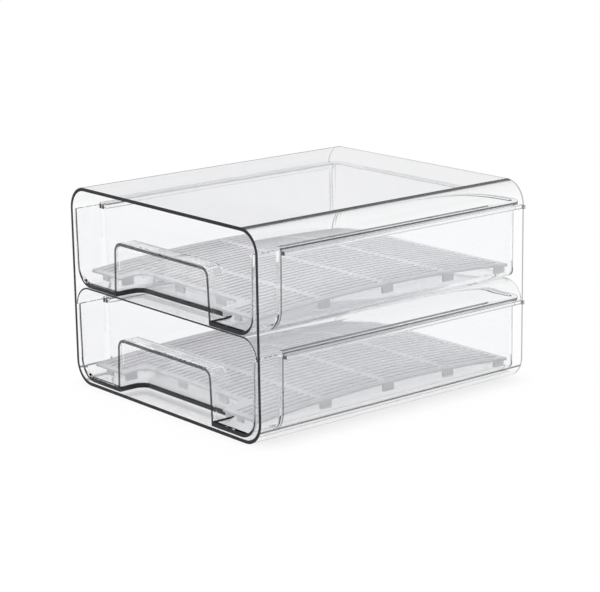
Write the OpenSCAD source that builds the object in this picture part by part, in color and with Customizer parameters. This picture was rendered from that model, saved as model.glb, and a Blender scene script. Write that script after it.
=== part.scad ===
// Two-tier clear drawer organizer for a fridge shelf.
// Frame: millimetres, X to the right seen from the front, -Y to the front, Z up.
// The origin is at the centre of the bounding box's underside.

/* [Case] */
// Outer width of the case
case_w = 210; // [190:1:300]
// Depth of the case, front edge to rear edge
case_d = 234; // [180:1:360]
// Outer height of the case
case_h = 142; // [132:1:170]
// Thickness of the case's and the drawers' walls
wall_t = 2.4; // [2:0.1:3]
// Outer radius of the case's four long edges
case_r = 16.5; // [12:0.5:20]

/* [Mid shelf] */
// Thickness of the shelf between the tiers
shelf_t = 1.2; // [1:0.1:1.6]
// Outer radius of the shelf's down-turned ends
shelf_r = 15; // [12:0.5:15]

/* [Slide rails] */
// Width of the ledge that carries a drawer's flange
ledge_w = 5; // [4:0.1:7]
// Thickness of the ledge
ledge_t = 2.7; // [2:0.1:3.5]
// Distance that a rail's tail stands out behind the case
tail_t = 2; // [1:0.1:3]

/* [Clearances] */
// Running clearance under a drawer's flange and under the upper drawer
run_gap = 0.3; // [0.2:0.05:0.5]
// Space between the lower drawer and the case's floor
floor_gap = 1; // [0.5:0.1:2]
// Space between the lower drawer's rim and the shelf
shelf_gap = 10.7; // [10.6:0.1:14]
// Space between the upper drawer's rim and the case's top
top_gap = 12.4; // [6:0.1:20]
// Space between a drawer's wide front section and the case's wall, at the rim
collar_gap = 2.6; // [1.5:0.1:4]
// Space between a flange and the shelf's legs
flange_gap = 0.7; // [0.6:0.1:1.5]
// Space between a basin and the ledges, at the rim
basin_gap = 0.4; // [0.3:0.1:1]
// Space between a closed drawer's wide front section and the front ends of the rails
stop_gap = 0.4; // [0.3:0.1:1]

/* [Drawers] */
// Distance that a closed drawer's rear wall stands out behind the case's rear edge
rear_out = 2.4; // [0.5:0.1:6]
// Depth of the wide front section
collar_d = 22.4; // [18:0.1:30]
// Drop from the basin's rim to the rim of the wide front section
rim_step = 1.2; // [0.5:0.1:1.6]
// Outer radius of the front section's lower edges
collar_r = 15; // [12:0.5:16]
// Outer radius of the basin's lower edges
basin_r = 13; // [11:0.5:14]
// Outer radius of the basin's rear corners, seen from above
corner_r = 9.5; // [7:0.1:12]
// Draft of the drawer's side walls, in degrees
draft = 1.15; // [0.5:0.05:1.5]
// Thickness of the flange
flange_t = 1.9; // [1.5:0.1:2.5]
// Distance that the flange stands out behind the basin
flange_rear = 1.6; // [1:0.1:2]
// Radius of the flange's rear corners, seen from above
flange_r = 11; // [9:0.1:14]
// Overlap of the flange over the front section
flange_lap = 1; // [0.5:0.1:2]

/* [Finger pockets] */
// Half width of the pocket's mouth at the drawer's underside
pocket_hw = 52.4; // [45:0.1:60]
// Height of the pocket's mouth above the drawer's underside
pocket_h = 36.4; // [30:0.1:42]
// Radius of the mouth's upper corners
pocket_r = 5; // [3:0.5:8]
// Depth of the pocket at the drawer's underside
pocket_d = 20.5; // [18:0.1:24]
// Depth of the pocket at its top
pocket_top_d = 10.5; // [8:0.1:16]
// Radius of the pocket's rear corners, seen from above
pocket_corner_r = 9; // [6:0.5:10]
// Thickness of the pocket's walls
pocket_t = 2.2; // [1.8:0.1:2.4]
// Draft of the mouth's sides, in degrees
pocket_draft = 2.6; // [1:0.1:4]

/* [Drain trays] */
// Space between a tray's sides and the basin's walls, at the rim
tray_gap = 2.6; // [2.4:0.1:5]
// Space between a tray's front edge and the drawer's front wall
tray_front_gap = 4; // [2:0.1:8]
// Space between a tray's rear edge and the drawer's rear wall
tray_rear_gap = 3.6; // [2:0.1:8]
// Height of the tray's front and rear ends, at the upper face, above the drawer's floor
tray_rise = 8.6; // [8:0.1:12]
// Rise of the arched plate's middle over its ends
tray_camber = 5; // [3:0.1:6]
// Thickness of the slotted plate
tray_t = 1.5; // [1.2:0.1:2.4]
// Radius of the tray's corners, seen from above
tray_r = 2; // [1:0.5:5]
// Space between the tray's notch and the finger pocket
notch_gap = 1.9; // [1:0.1:4]
// Radius of the notch's rear corners
notch_r = 10; // [6:0.5:11]
// Spacing of the drain slots
slot_pitch = 6; // [5:0.1:8]
// Width of a drain slot
slot_w = 2.6; // [2:0.1:3.4]
// Width of the plain rim around the slots
slot_margin = 4.6; // [4:0.1:8]
// Width of the three plain bars across the slots
bar_w = 5; // [3:0.1:8]
// Length of a foot along the tray's edge
foot_l = 9.3; // [6:0.1:12]
// Height of a foot below the plate
foot_h = 4.8; // [4:0.1:6]
// Length of the feet at the front and rear edges
end_foot_l = 6.5; // [4:0.1:10]
// Height of the feet at the front and rear edges
end_foot_h = 3.3; // [2:0.1:4]
// Thickness of a foot
foot_t = 1.6; // [1.2:0.1:2.4]
// Length of a foot that is sunk into the plate
foot_sink = 0.6; // [0.5:0.1:1]
// Space between the side feet and the drawer's curved lower corners
rest_gap = 0.3; // [0.2:0.05:0.5]
// Distance of the feet behind the notch from the tray's centre line
notch_foot_x = 23; // [10:0.5:40]
// Distance of those feet, which reach down to the drawer's floor, from the notch's rear edge
notch_foot_back = 8; // [2:0.5:14]

/* [Hidden] */
$fn = 96;
// Places of the side feet behind the notch, as shares of the tray's straight side
side_foot_shares = [0.237, 0.498, 0.759, 1];
// Share of a corner's radius at which a drafted side ends
tuck_share = 0.999;
// Y of the case's front edges and rear edges
front_y = -(case_d + max(tail_t, rear_out + flange_rear)) / 2;
rear_y = front_y + case_d;
// Inner half width of the case
inner_hw = case_w / 2 - wall_t;
// Length that a cutting solid runs past the face it cuts
over = wall_t / 2;

// Heights above a tier's zero: the drawer's underside, its floor, its rims and the ledge
drawer_z = wall_t + floor_gap;
drawer_floor_z = drawer_z + wall_t;
drawer_h = (case_h - 2 * wall_t - floor_gap - run_gap - shelf_t - shelf_gap - top_gap) / 2;
basin_rim_z = drawer_z + drawer_h;
collar_rim_z = basin_rim_z - rim_step;
ledge_z = basin_rim_z - flange_t - run_gap;
// Height from one tier to the next, and of the shelf's upper face
tier_pitch = drawer_h + shelf_gap + shelf_t + run_gap;
shelf_z = tier_pitch + drawer_z - run_gap;

// Half widths of a drawer at its rim, and its length from the front face to its rear wall
ledge_x = inner_hw - ledge_w;
collar_hw = inner_hw - collar_gap;
basin_hw = ledge_x - basin_gap;
flange_hw = inner_hw - shelf_t - flange_gap;
drawer_l = case_d + rear_out;
// Y of the inner face of the wide front section's rear wall
collar_wall_y = front_y + collar_d - wall_t;
// Height of the pocket's mouth above the tier
pocket_z = drawer_z + pocket_h;

// Half widths of the tray and its notch, and distances of their ends from the front face
tray_hw = basin_hw - wall_t - tray_gap;
tray_front = wall_t + tray_front_gap;
tray_rear = drawer_l - wall_t - tray_rear_gap;
tray_mid = (tray_front + tray_rear) / 2;
notch_hw = pocket_hw + pocket_t + notch_gap;
notch_d = pocket_d + pocket_t + notch_gap;
// Height of the arched plate's ends at the upper face, and radius of that face
tray_z = drawer_floor_z + tray_rise;
arch_r = (pow((tray_rear - tray_front) / 2, 2) + pow(tray_camber, 2)) / (2 * tray_camber);
// Distances of the side feet's middles from the front face; the first stands beside the notch
notch_foot_y = tray_front + tray_r + foot_l / 2;
side_foot_run = tray_rear - tray_r - foot_l / 2 - notch_foot_y;
side_foot_y = [for (s = side_foot_shares) notch_foot_y + s * side_foot_run];
end_foot_x = (notch_hw + tray_hw) / 2;
long_foot_y = notch_d + notch_foot_back;
// Inner radius and centre of the basin's curved lower corners, which the side feet rest on
inner_r = basin_r - wall_t;
corner_z = drawer_floor_z + inner_r;
corner_x = basin_hw - (wall_t + inner_r) / cos(draft) - (basin_rim_z - corner_z) * tan(draft);

// Height of the plate's underside at a distance from the front face
function plate_z(y) = tray_z - tray_t + tray_camber - arch_r
                    + sqrt(pow(arch_r, 2) - pow(y - tray_mid, 2));
// Outer face of a side foot: at the tray's edge, or as far out as the curved corner lets it
function side_foot_x(y) = min(tray_hw, corner_x
                        + sqrt(pow(inner_r - rest_gap, 2) - pow(corner_z - plate_z(y) + foot_h, 2)));

// Extrudes an outline drawn in X and Z from y0 to y1
module along_y(y0, y1) {
    translate([0, y1, 0]) rotate([90, 0, 0]) linear_extrude(y1 - y0) children();
}

// Rounded rectangle, centred in X and standing on zero
module ring_outline(hw, h, r) {
    translate([r - hw, 0]) square([2 * (hw - r), h]);
    translate([-hw, r]) square([2 * hw, h - 2 * r]);
    for (side = [-1, 1], z = [r, h - r])
        translate([side * (hw - r), z]) circle(r);
}

// Tub section: flat closed end at zero, open end at depth, sides with a draft
module tub_outline(open_hw, depth, r, angle) {
    corner_x = open_hw - r / cos(angle) - (depth - r) * tan(angle);
    // The sides end just inside the corner circles, so that they cross them cleanly
    side_x = corner_x + tuck_share * r * cos(angle);
    side_z = r - tuck_share * r * sin(angle);
    polygon([[-corner_x, 0], [corner_x, 0], [corner_x, r], [side_x, side_z],
             [open_hw, depth], [-open_hw, depth], [-side_x, side_z], [-corner_x, r]]);
    for (side = [-1, 1]) translate([side * corner_x, r]) circle(r);
}

// Plan outline from y0 to y1 with square front corners and round rear corners
module rear_rounded_plan(hw, y0, y1, r) {
    translate([-hw, y0]) square([2 * hw, y1 - y0 - r]);
    translate([r - hw, y0]) square([2 * (hw - r), y1 - y0]);
    for (side = [-1, 1]) translate([side * (hw - r), y1 - r]) circle(r);
}

module case_shell() {
    color([0.86, 0.89, 0.91, 0.4])
    difference() {
        along_y(front_y, rear_y) ring_outline(case_w / 2, case_h, case_r);
        translate([0, 0, wall_t])
            along_y(front_y - over, rear_y + over)
                ring_outline(inner_hw, case_h - 2 * wall_t, case_r - wall_t);
    }
}

// Rounded rectangle without the part below the lower rails' ledges
module shelf_outline(hw, top, r) {
    intersection() {
        translate([0, top - case_h]) ring_outline(hw, case_h, r);
        translate([-hw - over, ledge_z]) square([2 * (hw + over), case_h]);
    }
}

// Inverted U with its legs standing on the lower rails
module mid_shelf() {
    color([0.84, 0.87, 0.9, 0.4])
    along_y(front_y, rear_y)
    difference() {
        shelf_outline(inner_hw, shelf_z, shelf_r);
        translate([0, shelf_z - shelf_t - case_h])
            ring_outline(inner_hw - shelf_t, case_h, shelf_r - shelf_t);
    }
}

// One rail: a ledge along the wall with a tail hooked over the case's rear edge
module slide_rail(side, tier) {
    bottom_z = tier * tier_pitch + ledge_z - ledge_t;
    rail_y = front_y + collar_d + stop_gap;
    color([0.88, 0.9, 0.92, 0.4])
    scale([side, 1, 1]) {
        translate([ledge_x, rail_y, bottom_z])
            cube([ledge_w, rear_y - rail_y, ledge_t]);
        translate([ledge_x, rear_y, bottom_z])
            cube([ledge_w + wall_t, tail_t, ledge_t]);
    }
}

// Outside of one drawer without its finger pocket
module drawer_outside() {
    collar_h = collar_rim_z - drawer_z;
    basin_h = basin_rim_z - drawer_z;
    basin_y = front_y + drawer_l;
    translate([0, 0, drawer_z]) {
        along_y(front_y, front_y + collar_d)
            tub_outline(collar_hw, collar_h, collar_r, draft);
        intersection() {
            along_y(front_y + collar_d - flange_lap, basin_y)
                tub_outline(basin_hw, basin_h, basin_r, draft);
            linear_extrude(basin_h) rear_rounded_plan(basin_hw, front_y, basin_y, corner_r);
        }
    }
    translate([0, 0, basin_rim_z - flange_t])
        linear_extrude(flange_t)
            rear_rounded_plan(flange_hw, front_y + collar_d - flange_lap,
                              basin_y + flange_rear, flange_r);
}

// Space inside one drawer
module drawer_inside() {
    wall_x = wall_t / cos(draft);
    inner_y = front_y + drawer_l - wall_t;
    collar_h = collar_rim_z - drawer_floor_z;
    basin_h = basin_rim_z - drawer_floor_z;
    // Both spaces run on past the rim along the same sloping sides
    over_x = over * tan(draft);
    translate([0, 0, drawer_floor_z]) {
        along_y(front_y + wall_t, collar_wall_y)
            tub_outline(collar_hw - wall_x + over_x, collar_h + over, collar_r - wall_t, draft);
        intersection() {
            along_y(front_y + wall_t, inner_y)
                tub_outline(basin_hw - wall_x + over_x, basin_h + over, basin_r - wall_t, draft);
            linear_extrude(basin_h + over)
                rear_rounded_plan(basin_hw, front_y, inner_y, corner_r - wall_t);
        }
    }
}

// Finger pocket grown by a wall thickness, from z0 up and from y0 back
module pocket_solid(grow, z0, y0) {
    top = pocket_z + grow;
    slope = (pocket_d - pocket_top_d) / pocket_h;
    base_y = front_y + pocket_d + grow * sqrt(1 + slope * slope);
    // Y of the sloping rear wall at a height
    function rear_wall_y(z) = base_y + slope * (drawer_z - z);
    // The mouth's outline and the plan run past the base, which the profile then cuts off
    low_z = z0 - over;
    high_z = top + over;
    low_hw = pocket_hw + grow / cos(pocket_draft) + (drawer_z - low_z) * tan(pocket_draft);
    intersection() {
        along_y(y0 - over, base_y + over)
            translate([0, top]) mirror([0, 1])
                tub_outline(low_hw, top - low_z, pocket_r + grow, pocket_draft);
        translate([0, 0, low_z])
            linear_extrude(high_z - low_z)
                rear_rounded_plan(low_hw, y0 - over, rear_wall_y(low_z), pocket_corner_r + grow);
        translate([-low_hw - over, 0, 0]) rotate([90, 0, 90])
            linear_extrude(2 * (low_hw + over))
                polygon([[y0, z0], [rear_wall_y(z0), z0], [rear_wall_y(high_z), high_z],
                         [y0, high_z]]);
    }
}

module drawer(tier) {
    color([0.88, 0.91, 0.93, 0.4])
    translate([0, 0, tier * tier_pitch])
    difference() {
        union() {
            difference() {
                drawer_outside();
                drawer_inside();
            }
            pocket_solid(pocket_t, drawer_z, front_y);
        }
        pocket_solid(0, drawer_z - over, front_y - over);
    }
}

// Outline of the tray, seen from above
module tray_outline() {
    y0 = front_y + tray_front;
    y1 = front_y + tray_rear;
    difference() {
        union() {
            translate([tray_r - tray_hw, y0]) square([2 * (tray_hw - tray_r), y1 - y0]);
            translate([-tray_hw, y0 + tray_r]) square([2 * tray_hw, y1 - y0 - 2 * tray_r]);
            for (side = [-1, 1], y = [y0 + tray_r, y1 - tray_r])
                translate([side * (tray_hw - tray_r), y]) circle(tray_r);
        }
        rear_rounded_plan(notch_hw, y0 - over, front_y + notch_d, notch_r);
    }
}

// Slots of the whole plate, cut short at the rim, the notch and the plain bars between the feet
module drain_slots() {
    last = len(side_foot_y) - 1;
    bar_y = [for (k = [0 : last - 1]) side_foot_y[k]];
    y_ends = concat([tray_front + slot_margin], bar_y, [tray_rear - slot_margin]);
    slot_count = floor((2 * (tray_hw - slot_margin) - slot_w) / slot_pitch) + 1;
    for (i = [0 : slot_count - 1], k = [0 : last]) {
        x = (i - (slot_count - 1) / 2) * slot_pitch;
        first_y = abs(x) < notch_hw + slot_margin && k == 0 ? notch_d + slot_margin : y_ends[k];
        y0 = first_y + (k == 0 ? 0 : bar_w / 2);
        y1 = y_ends[k + 1] - (k == last ? 0 : bar_w / 2);
        translate([x - slot_w / 2, front_y + y0]) square([slot_w, y1 - y0]);
    }
}

// Side view of the arched plate, drawn in Y and Z
module arch_outline() {
    low_z = tray_z - tray_t - over;
    intersection() {
        translate([front_y + tray_mid, tray_z + tray_camber - arch_r])
        difference() {
            circle(arch_r);
            circle(arch_r - tray_t);
        }
        translate([front_y + tray_front - over, low_z])
            square([tray_rear - tray_front + 2 * over, tray_z + tray_camber + over - low_z]);
    }
}

// One foot, hanging from the plate's underside
module foot(x, y, along_x, length, height) {
    size = along_x ? [length, foot_t] : [foot_t, length];
    translate([x - size[0] / 2, front_y + y - size[1] / 2, plate_z(y) - height])
        cube([size[0], size[1], height + foot_sink]);
}

module drain_tray(tier) {
    color([0.72, 0.74, 0.76, 0.8])
    translate([0, 0, tier * tier_pitch]) {
        intersection() {
            linear_extrude(tray_z + tray_camber + over)
            difference() {
                tray_outline();
                drain_slots();
            }
            translate([-tray_hw - over, 0, 0]) rotate([90, 0, 90])
                linear_extrude(2 * (tray_hw + over)) arch_outline();
        }
        for (side = [-1, 1]) {
            for (y = side_foot_y)
                foot(side * (side_foot_x(y) - foot_t / 2), y, false, foot_l, foot_h);
            for (y = [tray_front + foot_t / 2, tray_rear - foot_t / 2])
                foot(side * end_foot_x, y, true, end_foot_l, end_foot_h);
            foot(side * notch_foot_x, long_foot_y, true, foot_l,
                 plate_z(long_foot_y) - drawer_floor_z - rest_gap);
            foot(side * (notch_hw + foot_t / 2), notch_foot_y, false, foot_l, foot_h);
        }
    }
}

module upper_left_rail() slide_rail(-1, 1);
module upper_right_rail() slide_rail(1, 1);
module lower_left_rail() slide_rail(-1, 0);
module lower_right_rail() slide_rail(1, 0);
module upper_drawer() drawer(1);
module lower_drawer() drawer(0);
module upper_drain_tray() drain_tray(1);
module lower_drain_tray() drain_tray(0);

case_shell();
mid_shelf();
upper_left_rail();
upper_right_rail();
lower_left_rail();
lower_right_rail();
upper_drawer();
lower_drawer();
upper_drain_tray();
lower_drain_tray();
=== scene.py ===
import math
from collections import namedtuple

import bpy
from mathutils import Matrix

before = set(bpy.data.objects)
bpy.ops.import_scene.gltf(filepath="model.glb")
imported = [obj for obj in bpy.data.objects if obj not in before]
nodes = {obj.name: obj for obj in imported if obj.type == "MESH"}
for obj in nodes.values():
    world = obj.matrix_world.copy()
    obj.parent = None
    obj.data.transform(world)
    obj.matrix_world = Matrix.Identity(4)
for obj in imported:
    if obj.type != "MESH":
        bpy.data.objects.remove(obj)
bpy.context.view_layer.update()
scene = bpy.context.scene

# Camera, fitted to the photograph's straight edges
PHOTO_W = 600
FOCAL_PX = 2111.3
SENSOR_MM = 36.0
CAM_PLACE = (1.1131, -0.9076, 0.4204)
CAM_AZIMUTH, CAM_ELEVATION, CAM_ROLL = 50.803, 14.046, -0.934
CLIP_NEAR, CLIP_FAR = 0.05, 50.0

# Sizes of the case that its material follows, in metres like all sizes below
FRONT_Y, REAR_Y = -0.119, 0.115
CASE_HW, CASE_H, CASE_R = 0.105, 0.142, 0.0165
TIER_Z = {"lower": 0.0, "upper": 0.068}

# Sizes of a drawer, with its heights counted from its underside
DRAWER_Z = 0.0034
WALL_T = 0.0024
SIDE_SLOPE = math.tan(math.radians(1.15))
COLLAR_HW, COLLAR_H, COLLAR_R, COLLAR_REAR_Y = 0.1, 0.0546, 0.015, -0.0966
BASIN_HW, BASIN_H, BASIN_REAR_Y, BASIN_CORNER_R = 0.0972, 0.0558, 0.1174, 0.0095
FLANGE_HW, FLANGE_T, FLANGE_REAR_Y, FLANGE_R = 0.1007, 0.0019, 0.119, 0.011
MOUTH_HW, MOUTH_H, MOUTH_R = 0.0524, 0.0364, 0.005
MOUTH_SLOPE = math.tan(math.radians(2.6))
POCKET_T, POCKET_TOP_REAR_Y = 0.0022, -0.1068

# How near to a face counts as on it
SKIN = 0.0001

# Widths of the dark lines of painted shade
REAR_LINE_W = 0.0012
RIM_W = 0.0014
FLOOR_LINE_H = 0.003
CREST_W = 0.0006
COLLAR_LINE_W, COLLAR_SKIN = 0.0011, 0.0006
OUTER_SKIN = 0.0012
FLANGE_TOP_FADE = (0.0009, 0.0013)
FLANGE_LOW_W = 0.0004
FAR_FLANGE_W = 0.0005

# Where the lines of painted shade fade: across the case, and up the drawer
LEFT_EDGE_X = (-0.103, -0.094)
RIM_FOOT_FADE = (0.006, 0.02)
RIM_TOP_FADE = (0.044, COLLAR_H)
RIM_TOP_SHARE = 0.2
CORNER_FOOT_FADE = (0.009, 0.014)

# Angles in radians round the case's upper and lower edges, where lines of painted shade lie, for
# Graph.band
CREASE_BAND = (0.0, 0.03, 0.2, 0.38)
CONTOUR_BAND = (0.15, 0.3, 0.4, 0.55)
FOLD_BAND = (1.11, 1.16, 1.2, 1.26)

# Parts of a normal along X or Z that tell the drawer's faces apart
UPRIGHT_NZ = 0.6
COLLAR_NX = 0.3
CORNER_NX_BAND = (0.5, 0.64, 0.76, 0.97)
CORNER_NX = (0.03, 0.995)

# Shares of the plastic that the lines of painted shade cover: dark lines painted along edges and
# end faces, where the clear plastic's bending of light shows dark
PAINTED_SHADE_SHARE = {
    "case_front": 0.97, "case_front_left": 0.6, "case_rear_face": 0.06, "case_rear_skin": 0.5,
    "crease": 0.9, "contour": 0.45, "fold": 0.75, "shelf": 0.6,
    "rim_foot": 0.9, "rim_side": 0.4, "floor": 0.97, "pocket": 0.86, "crest": 0.6,
    "collar": 0.8, "corner": 0.7,
    "flange_top": 0.95, "flange_side": 0.2, "flange_low": 0.55,
    "far_flange_top": 0.45, "far_flange_low": 0.75,
}

# Walls of the drawer that bend no light
STEP_X, STEP_FRONT_REACH = (0.09, 0.0995), 0.001
CORNER_CLEAR_FROM, OUTER_SKIN_LEAD = 0.0145, 0.002
POCKET_WALLS_Y, POCKET_WALLS_HW, POCKET_WALLS_TOP = (FRONT_Y + 0.003, -0.094), 0.058, 0.034
POCKET_CLEAR_SHARE = 0.9

# Shader settings, by the names of the shaders' sockets
CLEAR = {"Base Color": (0.994, 0.995, 0.998, 1), "Roughness": 0.02, "IOR": 1.47,
         "Transmission Weight": 1.0}
CLEAR_VOLUME = {"Color": (0.90, 0.915, 0.93, 1), "Density": 22.0}
CLEAR_NOISE, CLEAR_BUMP = {"Scale": 22.0, "Detail": 1.5}, {"Strength": 0.12, "Distance": 0.0006}
# Painted shade: the near-black colour of the lines painted along the plastic's edges and end
# faces
PAINTED_EDGE_SHADE = {"Base Color": (0.012, 0.013, 0.018, 1), "Roughness": 0.3, "Specular IOR Level": 0.2}
TRAY_NOISE, TRAY_BUMP = {"Scale": 900.0}, {"Strength": 0.25, "Distance": 0.0003}
TRAY_ROUGHNESS = 0.42
# Painted light and shade: a lit colour for the tray's upper faces, a shaded one for its upright
# faces
TRAY_SHADED_UPRIGHT, TRAY_LIT_TOP = (0.68, 0.68, 0.7, 1), (0.97, 0.968, 0.985, 1)
TRAY_THIN, TRAY_THIN_SHARE = (0.9, 0.9, 0.92, 1), 0.3

# How the tray's painted light and shade change: with the slope of its faces, and darker towards
# its sides and at its rim
TRAY_SLOPE_FADE = (0.3, 0.8)
TRAY_SIDE_X, TRAY_SIDE_SHADE = (0.05, 0.09), 0.86
TRAY_RIM_X, TRAY_RIM_SHADE = (0.0872, 0.0882), 0.85

# Rounding of the small pieces' edges, and how far their skin stays off the case's wall
WELD_REACH = 1e-6
SHELF_BEVEL, RAIL_BEVEL = 0.0002, 0.0004
BEVEL_SEGMENTS, BEVEL_ANGLE = 2, math.radians(40)
WALL_CLEARANCE = 0.00003

# Floor: a little below the case, white where it is seen, with a painted shadow that dims that
# white beneath the object
FLOOR_HALF, FLOOR_Z = 6.0, -0.0004
FLOOR_PAINT = (0.9, 0.9, 0.9, 1)
FLOOR_WHITE, FLOOR_WHITE_SHARE = 1.02, 0.9
SHADOW_PATCH_X, SHADOW_PATCH_Y, SHADOW_DIM = (0.09, 0.12), (0.1, 0.13), 0.15

# World that the plastic mirrors and bends: dimmer above the horizon and dimmer again overhead
WHITE = (1, 1, 1, 1)
WORLD_TINT = (0.985, 0.985, 1, 1)
LOW_UP, LOW_LEVEL = (0.0, 0.22), 0.77
HIGH_UP, HIGH_LEVEL = (0.25, 0.7), 0.45
ANY_DEPTH = 0.5

Place = namedtuple("Place", "x y z normal")


class Graph:
    """Short helpers for the node tree of a material or of the world."""

    def __init__(self, owner):
        owner.use_nodes = True
        self.tree = owner.node_tree
        self.tree.nodes.clear()

    def node(self, kind, **props):
        n = self.tree.nodes.new(kind)
        for key, value in props.items():
            setattr(n, key, value)
        return n

    def put(self, socket, value):
        if isinstance(value, bpy.types.NodeSocket):
            self.tree.links.new(value, socket)
        else:
            socket.default_value = value

    def filled(self, kind, settings):
        """A node with its inputs set or linked by name."""
        n = self.node(kind)
        for key, value in settings.items():
            self.put(n.inputs[key], value)
        return n

    def math(self, op, *values):
        n = self.node("ShaderNodeMath", operation=op)
        for socket, value in zip(n.inputs, values):
            self.put(socket, value)
        return n.outputs[0]

    def size(self, value):
        return self.math("ABSOLUTE", value)

    def minus(self, value, less):
        return self.math("SUBTRACT", value, less)

    def flip(self, share):
        return self.minus(1.0, share)

    def times(self, first, *rest):
        for value in rest:
            first = self.math("MULTIPLY", first, value)
        return first

    def most(self, first, *rest):
        for value in rest:
            first = self.math("MAXIMUM", first, value)
        return first

    def above(self, value, limit):
        return self.math("GREATER_THAN", value, limit)

    def below(self, value, limit):
        return self.math("LESS_THAN", value, limit)

    def between(self, value, low, high):
        return self.times(self.above(value, low), self.below(value, high))

    def ramp(self, value, ends, to_low=0.0, to_high=1.0):
        n = self.node("ShaderNodeMapRange", interpolation_type="SMOOTHSTEP")
        for key, v in (("Value", value), ("From Min", ends[0]), ("From Max", ends[1]),
                       ("To Min", to_low), ("To Max", to_high)):
            self.put(n.inputs[key], v)
        return n.outputs["Result"]

    def band(self, value, limits):
        """1 between the middle two of four limits, falling to 0 at the outer two."""
        return self.times(self.ramp(value, limits[:2]), self.ramp(value, limits[2:], 1.0, 0.0))

    def split(self, vector):
        n = self.node("ShaderNodeSeparateXYZ")
        self.put(n.inputs[0], vector)
        return n.outputs

    def rounded_box(self, x, z, half_w, top_z, radius):
        """Signed distance, in x and z, outside a box that is open below and round above."""
        dx = self.math("ADD", self.minus(x, half_w), radius)
        dz = self.minus(z, top_z - radius)
        far_x, far_z = self.math("MAXIMUM", dx, 0.0), self.math("MAXIMUM", dz, 0.0)
        reach = self.math("SQRT", self.math("ADD", self.times(far_x, far_x),
                                            self.times(far_z, far_z)))
        inner = self.math("MINIMUM", self.math("MAXIMUM", dx, dz), 0.0)
        return self.minus(self.math("ADD", reach, inner), radius)

    def from_inside(self):
        """1 where a surface is met from inside the plastic."""
        return self.node("ShaderNodeNewGeometry").outputs["Backfacing"]

    def outside_only(self, share):
        """Keep a share only where the plastic is met from outside."""
        return self.times(share, self.flip(self.from_inside()))

    def mix_shader(self, fac, a, b):
        n = self.node("ShaderNodeMixShader")
        self.put(n.inputs[0], fac)
        self.put(n.inputs[1], a)
        self.put(n.inputs[2], b)
        return n.outputs[0]

    def bump(self, coords, noise, settings):
        wave = self.filled("ShaderNodeTexNoise", {"Vector": coords["Object"], **noise})
        height = {"Height": wave.outputs["Fac"]}
        return self.filled("ShaderNodeBump", {**height, **settings}).outputs["Normal"]


def add_camera():
    data = bpy.data.cameras.new("camera")
    data.sensor_width = SENSOR_MM
    data.lens = FOCAL_PX * SENSOR_MM / PHOTO_W
    data.clip_start, data.clip_end = CLIP_NEAR, CLIP_FAR
    cam = bpy.data.objects.new("camera", data)
    scene.collection.objects.link(cam)
    turn = (Matrix.Rotation(math.radians(CAM_AZIMUTH), 4, "Z")
            @ Matrix.Rotation(math.radians(90 - CAM_ELEVATION), 4, "X")
            @ Matrix.Rotation(math.radians(CAM_ROLL), 4, "Z"))
    cam.matrix_world = Matrix.Translation(CAM_PLACE) @ turn
    scene.camera = cam


def clear_plastic(name, shade_mask=None, fade=None):
    """Clear plastic, with dark lines of painted shade where the shade mask says and unbent light
    where fade says.
    """
    mat = bpy.data.materials.new(name)
    g = Graph(mat)
    out = g.node("ShaderNodeOutputMaterial")
    coords = g.node("ShaderNodeTexCoord").outputs
    normal = g.bump(coords, CLEAR_NOISE, CLEAR_BUMP)
    surface = g.filled("ShaderNodeBsdfPrincipled", {"Normal": normal, **CLEAR}).outputs[0]
    at = Place(*g.split(coords["Object"]), g.split(coords["Normal"]))
    if fade:
        gone = g.node("ShaderNodeBsdfTransparent")
        surface = g.mix_shader(fade(g, at), surface, gone.outputs[0])
    # Painted shade: dark lines mixed over the clear plastic along its edges
    if shade_mask:
        edge = g.filled("ShaderNodeBsdfPrincipled", PAINTED_EDGE_SHADE)
        surface = g.mix_shader(shade_mask(g, at), surface, edge.outputs[0])
    g.put(out.inputs["Surface"], surface)
    g.put(out.inputs["Volume"], g.filled("ShaderNodeVolumeAbsorption", CLEAR_VOLUME).outputs[0])
    return mat


def case_edge_shade(g, at):
    # Painted shade: dark lines on the case's end faces and along its rounded edges
    front = g.times(g.below(at.y, FRONT_Y + SKIN),
                    g.ramp(at.x, LEFT_EDGE_X, PAINTED_SHADE_SHARE["case_front_left"], PAINTED_SHADE_SHARE["case_front"]))
    rear = g.times(g.above(at.y, REAR_Y - SKIN), PAINTED_SHADE_SHARE["case_rear_face"])
    rear_skin = g.times(g.above(at.y, REAR_Y - REAR_LINE_W), PAINTED_SHADE_SHARE["case_rear_skin"])
    across = g.minus(g.size(at.x), CASE_HW - CASE_R)
    # Painted shade along the line where the rounded upper edge meets the flat top
    angle = g.math("ARCTAN2", across, g.minus(at.z, CASE_H - CASE_R))
    crease = g.times(g.band(angle, CREASE_BAND), PAINTED_SHADE_SHARE["crease"])
    # Painted shade in lines on the rounded lower edge: its outline seen from above, and where it
    # meets the side
    low_angle = g.math("ARCTAN2", across, g.minus(CASE_R, at.z))
    contour = g.times(g.band(low_angle, CONTOUR_BAND), PAINTED_SHADE_SHARE["contour"])
    fold = g.times(g.band(low_angle, FOLD_BAND), PAINTED_SHADE_SHARE["fold"])
    return g.most(front, rear, g.outside_only(g.most(crease, contour, fold, rear_skin)))


def case_fade(g, at):
    """The rear end face bends no light, so that the far edge stays clear."""
    return g.above(at.y, REAR_Y - SKIN)


def shelf_edge_shade(g, at):
    # Painted shade: a dark line on the shelf's front end face
    return g.times(g.below(at.y, FRONT_Y + SKIN), PAINTED_SHADE_SHARE["shelf"])


def in_drawer(g, at, tier_z):
    """Distance from the middle, and height above the drawer's underside."""
    return g.size(at.x), g.minus(at.z, tier_z + DRAWER_Z)


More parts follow.
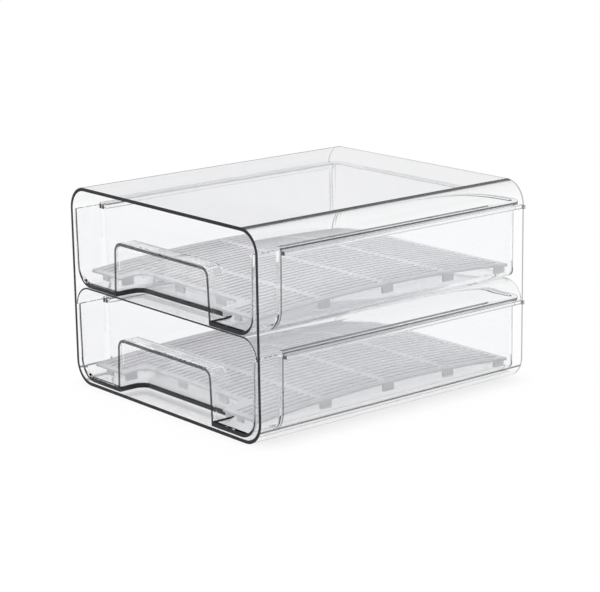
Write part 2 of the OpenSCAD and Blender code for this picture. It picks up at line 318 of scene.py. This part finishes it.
def collar_depth(g, side_x, rise):
    """Signed distance, in x and z, outside the drawer's wide front section."""
    half_w = g.math("ADD", g.times(rise, SIDE_SLOPE), COLLAR_HW - COLLAR_H * SIDE_SLOPE)
    return g.rounded_box(side_x, g.times(rise, -1.0), half_w, 0.0, COLLAR_R)


def basin_plan(g, side_x, y):
    """Signed distance, seen from above, outside the basin behind the front section."""
    return g.rounded_box(side_x, y, BASIN_HW, BASIN_REAR_Y, BASIN_CORNER_R)


def flange_edge_shade(g, side_x, y, rise):
    """Painted shade on the flange's edge: dark above, with a fine line below."""
    on_edge = g.above(g.rounded_box(side_x, y, FLANGE_HW, FLANGE_REAR_Y, FLANGE_R), -SKIN)
    drop = g.minus(BASIN_H, rise)
    near = g.most(g.ramp(drop, FLANGE_TOP_FADE, PAINTED_SHADE_SHARE["flange_top"], PAINTED_SHADE_SHARE["flange_side"]),
                  g.times(g.above(drop, FLANGE_T - FLANGE_LOW_W), PAINTED_SHADE_SHARE["flange_low"]))
    far = g.most(g.times(g.below(drop, FAR_FLANGE_W), PAINTED_SHADE_SHARE["far_flange_top"]),
                 g.times(g.above(drop, FLANGE_T - FAR_FLANGE_W), PAINTED_SHADE_SHARE["far_flange_low"]))
    inside = g.from_inside()
    edge = g.math("ADD", g.times(inside, far), g.times(g.flip(inside), near))
    return g.times(on_edge, g.below(drop, FLANGE_T + SKIN), edge)


def drawer_edge_shade(tier_z):
    def mask(g, at):
        # Painted shade: dark lines along the drawer's edges, end faces and rear corners
        side_x, rise = in_drawer(g, at, tier_z)
        front = g.below(at.y, FRONT_Y + SKIN)
        upright = g.below(g.size(at.normal[2]), UPRIGHT_NZ)
        turn = g.size(at.normal[0])
        # Painted shade where the front face shows walls end on: the side walls, the floor and the
        # pocket
        depth = collar_depth(g, side_x, rise)
        rim = g.times(front, g.above(depth, -RIM_W),
                      g.ramp(rise, RIM_FOOT_FADE, PAINTED_SHADE_SHARE["rim_foot"], PAINTED_SHADE_SHARE["rim_side"]),
                      g.ramp(rise, RIM_TOP_FADE, 1.0, RIM_TOP_SHARE))
        floor = g.times(upright, g.below(rise, FLOOR_LINE_H), g.below(at.y, COLLAR_REAR_Y),
                        PAINTED_SHADE_SHARE["floor"])
        mouth_w = g.minus(MOUTH_HW, g.times(rise, MOUTH_SLOPE))
        mouth = g.rounded_box(side_x, rise, mouth_w, MOUTH_H, MOUTH_R)
        pocket = g.times(front, g.between(mouth, -SKIN, POCKET_T), PAINTED_SHADE_SHARE["pocket"])
        # Painted shade along the rear edge of the pocket's top
        top = MOUTH_H + POCKET_T
        crest = g.times(g.between(rise, top - CREST_W, top + SKIN),
                        g.above(at.y, POCKET_TOP_REAR_Y - CREST_W), g.below(at.y, COLLAR_REAR_Y),
                        g.below(side_x, MOUTH_HW + POCKET_T), PAINTED_SHADE_SHARE["crest"])
        # Painted shade where the sides show walls end on: the wide section's rear edge and the
        # rear corners
        collar = g.times(g.above(turn, COLLAR_NX), g.above(depth, -COLLAR_SKIN),
                         g.between(at.y, COLLAR_REAR_Y - COLLAR_LINE_W, COLLAR_REAR_Y),
                         PAINTED_SHADE_SHARE["collar"])
        corner = g.times(g.band(turn, CORNER_NX_BAND), upright,
                         g.above(at.y, BASIN_REAR_Y - BASIN_CORNER_R),
                         g.above(basin_plan(g, side_x, at.y), -OUTER_SKIN),
                         g.ramp(rise, CORNER_FOOT_FADE), g.below(rise, BASIN_H - FLANGE_T),
                         PAINTED_SHADE_SHARE["corner"])
        return g.most(rim, floor, pocket, flange_edge_shade(g, side_x, at.y, rise),
                      g.outside_only(g.most(crest, collar, corner)))
    return mask


def drawer_fade(tier_z):
    """Share of the plastic that bends no light, on the walls that should only show as lines."""
    def share(g, at):
        side_x, rise = in_drawer(g, at, tier_z)
        plate = g.times(g.below(at.y, FRONT_Y + WALL_T + SKIN),
                        g.below(collar_depth(g, side_x, rise), SKIN - WALL_T))
        step = g.times(g.between(at.y, COLLAR_REAR_Y - WALL_T - STEP_FRONT_REACH,
                                 COLLAR_REAR_Y + SKIN),
                       g.between(side_x, *STEP_X))
        # Of the rear corners, the one that is met from inside the basin
        outer = g.above(basin_plan(g, side_x, at.y), -OUTER_SKIN)
        far = g.flip(g.size(g.minus(outer, g.from_inside())))
        # Light that goes in unbent has to come out unbent, so the outer skin's share starts lower
        foot = g.minus(CORNER_CLEAR_FROM, g.times(outer, OUTER_SKIN_LEAD))
        corner = g.times(g.above(at.y, BASIN_REAR_Y - BASIN_CORNER_R), g.above(rise, foot),
                         g.between(g.size(at.normal[0]), *CORNER_NX),
                         g.below(rise, BASIN_H - SKIN), far)
        pocket = g.times(g.between(at.y, *POCKET_WALLS_Y), g.below(side_x, POCKET_WALLS_HW),
                         g.between(rise, WALL_T + SKIN, POCKET_WALLS_TOP), POCKET_CLEAR_SHARE)
        return g.most(plate, step, corner, pocket)
    return share


def tray_plastic(name):
    """Frosted plastic that lets some light straight through, with painted light and shade on its
    faces.
    """
    mat = bpy.data.materials.new(name)
    g = Graph(mat)
    out = g.node("ShaderNodeOutputMaterial")
    coords = g.node("ShaderNodeTexCoord").outputs
    # Painted light and shade: upright faces get a shaded colour, darker than the lit colour of
    # the plate's upper face
    slope = g.size(g.split(coords["Normal"])[2])
    lit_and_shaded = g.node("ShaderNodeMix", data_type="RGBA")
    g.put(lit_and_shaded.inputs["Factor"], g.ramp(slope, TRAY_SLOPE_FADE))
    colours = [socket for socket in lit_and_shaded.inputs if socket.type == "RGBA"]
    g.put(colours[0], TRAY_SHADED_UPRIGHT)
    g.put(colours[1], TRAY_LIT_TOP)
    # Painted shade: darker towards the tray's sides and at its rim
    side_x = g.size(g.split(coords["Object"])[0])
    shade = g.node("ShaderNodeVectorMath", operation="SCALE")
    g.put(shade.inputs[0], next(socket for socket in lit_and_shaded.outputs if socket.type == "RGBA"))
    g.put(shade.inputs["Scale"], g.times(g.ramp(side_x, TRAY_SIDE_X, 1.0, TRAY_SIDE_SHADE),
                                         g.ramp(side_x, TRAY_RIM_X, 1.0, TRAY_RIM_SHADE)))
    body = g.filled("ShaderNodeBsdfPrincipled", {
        "Base Color": shade.outputs[0], "Roughness": TRAY_ROUGHNESS,
        "Normal": g.bump(coords, TRAY_NOISE, TRAY_BUMP)})
    thin = g.filled("ShaderNodeBsdfTransparent", {"Color": TRAY_THIN})
    g.put(out.inputs["Surface"],
          g.mix_shader(TRAY_THIN_SHARE, body.outputs[0], thin.outputs[0]))
    return mat


def dress(name, mat):
    materials = nodes[name].data.materials
    materials.clear()
    materials.append(mat)


def soften(name, width):
    """Round a node's edges a little and draw its skin in where it touches the case's wall."""
    modifiers = nodes[name].modifiers
    weld = modifiers.new("weld", "WELD")
    weld.merge_threshold = WELD_REACH
    inset = modifiers.new("shrink", "DISPLACE")
    inset.strength = -WALL_CLEARANCE
    inset.mid_level = 0.0
    bevel = modifiers.new("bevel", "BEVEL")
    bevel.width = width
    bevel.segments = BEVEL_SEGMENTS
    bevel.limit_method = "ANGLE"
    bevel.angle_limit = BEVEL_ANGLE
    even = modifiers.new("normals", "WEIGHTED_NORMAL")
    even.keep_sharp = False


def add_floor():
    mesh = bpy.data.meshes.new("floor")
    s = FLOOR_HALF
    mesh.from_pydata([(-s, -s, 0), (s, -s, 0), (s, s, 0), (-s, s, 0)], [], [(0, 1, 2, 3)])
    floor = bpy.data.objects.new("floor", mesh)
    floor.location.z = FLOOR_Z
    scene.collection.objects.link(floor)
    mat = bpy.data.materials.new("floor")
    g = Graph(mat)
    out = g.node("ShaderNodeOutputMaterial")
    path = g.node("ShaderNodeLightPath").outputs
    seen = g.most(path["Is Camera Ray"], path["Is Glossy Ray"], path["Is Transmission Ray"])
    x, y, _ = g.split(g.node("ShaderNodeTexCoord").outputs["Object"])
    # Painted shadow: the floor's white is dimmed within the object's footprint
    shadow_patch = g.times(g.ramp(g.size(x), SHADOW_PATCH_X, 1.0, 0.0), g.ramp(g.size(y), SHADOW_PATCH_Y, 1.0, 0.0))
    paint = g.filled("ShaderNodeBsdfDiffuse", {"Color": FLOOR_PAINT})
    white = g.filled("ShaderNodeEmission", {
        "Color": WHITE, "Strength": g.minus(FLOOR_WHITE, g.times(shadow_patch, SHADOW_DIM))})
    g.put(out.inputs["Surface"],
          g.mix_shader(g.times(seen, FLOOR_WHITE_SHARE), paint.outputs[0], white.outputs[0]))
    mesh.materials.append(mat)


def add_world():
    """Plain white for the camera and for diffuse light, shaped for what the plastic shows."""
    world = bpy.data.worlds.new("studio")
    scene.world = world
    g = Graph(world)
    out = g.node("ShaderNodeOutputWorld")
    path = g.node("ShaderNodeLightPath").outputs
    up = g.split(g.node("ShaderNodeTexCoord").outputs["Generated"])[2]
    level = g.times(g.ramp(up, LOW_UP, 1.0, LOW_LEVEL), g.ramp(up, HIGH_UP, 1.0, HIGH_LEVEL))
    plain = g.filled("ShaderNodeBackground", {"Color": WHITE, "Strength": 1.0})
    shaped = g.filled("ShaderNodeBackground", {"Color": WORLD_TINT, "Strength": level})
    pick = g.most(path["Is Camera Ray"], path["Is Diffuse Ray"],
                  g.above(path["Diffuse Depth"], ANY_DEPTH))
    g.put(out.inputs["Surface"], g.mix_shader(pick, shaped.outputs[0], plain.outputs[0]))


def set_render():
    scene.view_settings.view_transform = "Standard"
    scene.cycles.max_bounces = 32
    scene.cycles.transmission_bounces = 28
    scene.cycles.transparent_max_bounces = 32
    scene.cycles.glossy_bounces = 8
    scene.cycles.blur_glossy = 0.0


add_camera()
add_floor()
add_world()

dress("case_shell", clear_plastic("clear_case", case_edge_shade, case_fade))
dress("mid_shelf", clear_plastic("clear_shelf", shelf_edge_shade))
soften("mid_shelf", SHELF_BEVEL)
rail_mat, tray_mat = clear_plastic("clear_rail"), tray_plastic("frosted_tray")
for tier, tier_z in TIER_Z.items():
    dress(tier + "_drawer", clear_plastic(tier + "_clear_drawer", drawer_edge_shade(tier_z),
                                          drawer_fade(tier_z)))
    dress(tier + "_drain_tray", tray_mat)
    for side in ("left", "right"):
        dress(f"{tier}_{side}_rail", rail_mat)
        soften(f"{tier}_{side}_rail", RAIL_BEVEL)

set_render()
